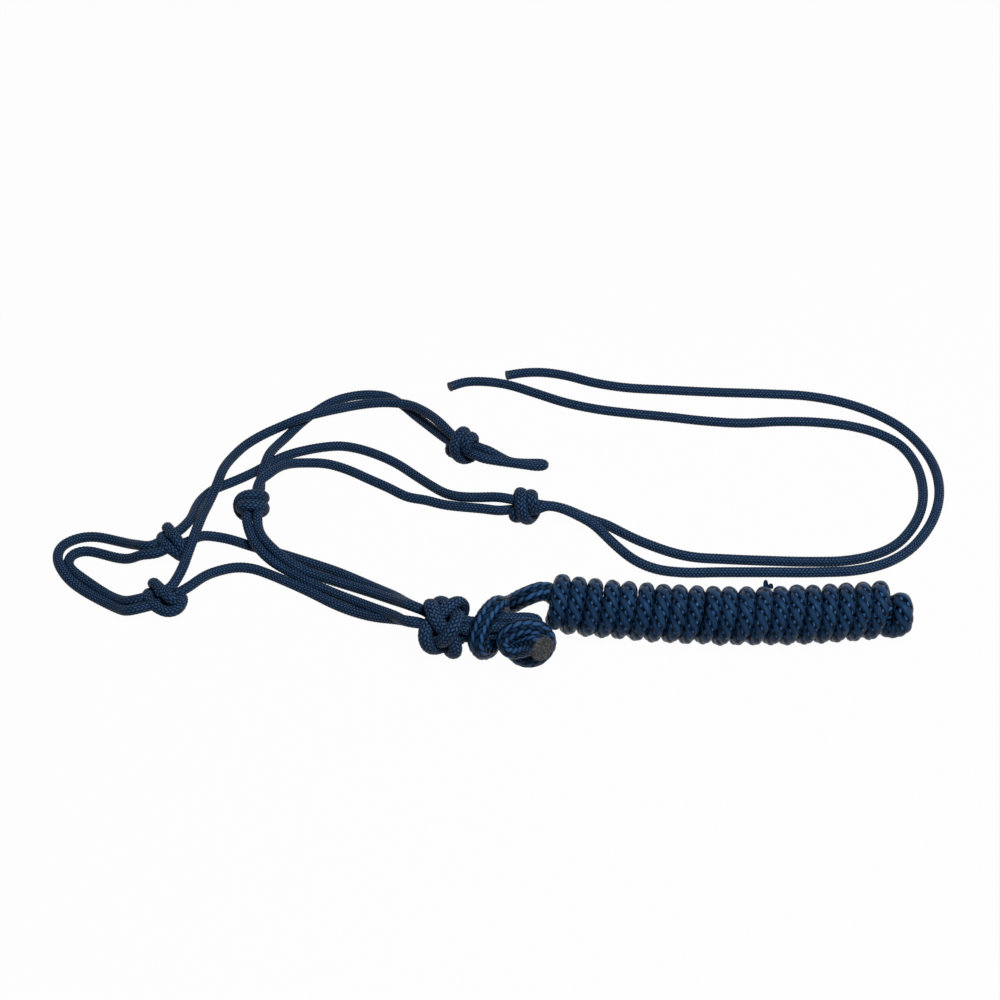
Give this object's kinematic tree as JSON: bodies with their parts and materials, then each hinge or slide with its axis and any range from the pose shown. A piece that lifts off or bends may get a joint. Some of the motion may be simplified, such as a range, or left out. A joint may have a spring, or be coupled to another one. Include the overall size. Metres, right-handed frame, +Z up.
{
  "type": "rope halter",
  "caption": "Knotted rope halter for a horse's head, laid flat, with a fiador knot, a tie loop, crown tails and a thicker lead rope hitched on and wound in a hank.",
  "frame": {"origin": "on the floor under the middle of the whole as it lies", "axes": "+X from the noseband to the crown tails, +Y from the lead to the cheeks, +Z up"},
  "size_m": [0.7086, 0.351, 0.046],
  "materials": {
    "halter_cord": "satin",
    "lead_rope": "satin",
    "melted_seal": "matte"
  },
  "bodies": {
    "halter": {"off_nose_knot": "halter_cord", "near_nose_knot": "halter_cord", "throat_knot": "halter_cord", "tie_loop_knot": "halter_cord", "crown_knot": "halter_cord", "fiador_knot": "halter_cord", "off_cheek": "halter_cord", "near_cheek": "halter_cord", "off_chin": "halter_cord", "near_chin": "halter_cord", "off_throat": "halter_cord", "near_throat": "halter_cord", "off_throat_drop": "halter_cord", "near_throat_drop": "halter_cord", "lead_loop_upper": "halter_cord", "lead_loop_lower": "halter_cord", "lead_hitch": "lead_rope", "lead_end_seal": "melted_seal"},
    "noseband": {"noseband_outer": "halter_cord", "noseband_inner": "halter_cord"},
    "crown_tails": {"crown_tail_long": "halter_cord", "crown_tail_short": "halter_cord", "crown_tip_long": "melted_seal", "crown_tip_short": "melted_seal"},
    "tie_loop": {"tie_loop": "halter_cord"},
    "lead": {"lead_run": "lead_rope", "hank_core": "lead_rope", "hank_turns_coil": "lead_rope", "hank_end_loop": "lead_rope"}
  },
  "joints": [
    {"name": "noseband_lift", "type": "hinge", "parent": "halter", "child": "noseband", "pos_m": [-0.28204, -0.07893, 0.014], "axis": [0, 1, 0], "range_deg": [0, 75]},
    {"name": "crown_lift", "type": "hinge", "parent": "halter", "child": "crown_tails", "pos_m": [0.03646, -0.00243, 0.014], "axis": [0.5735, -0.8192, 0], "range_deg": [0, 75]},
    {"name": "tie_loop_lift", "type": "hinge", "parent": "halter", "child": "tie_loop", "pos_m": [-0.01504, 0.06157, 0.014], "axis": [-0.5026, -0.8645, 0], "range_deg": [0, 60]},
    {"name": "lead_lift", "type": "hinge", "parent": "halter", "child": "lead", "pos_m": [0.01746, -0.11143, 0.031], "axis": [0, -1, 0], "range_deg": [0, 60]}
  ]
}
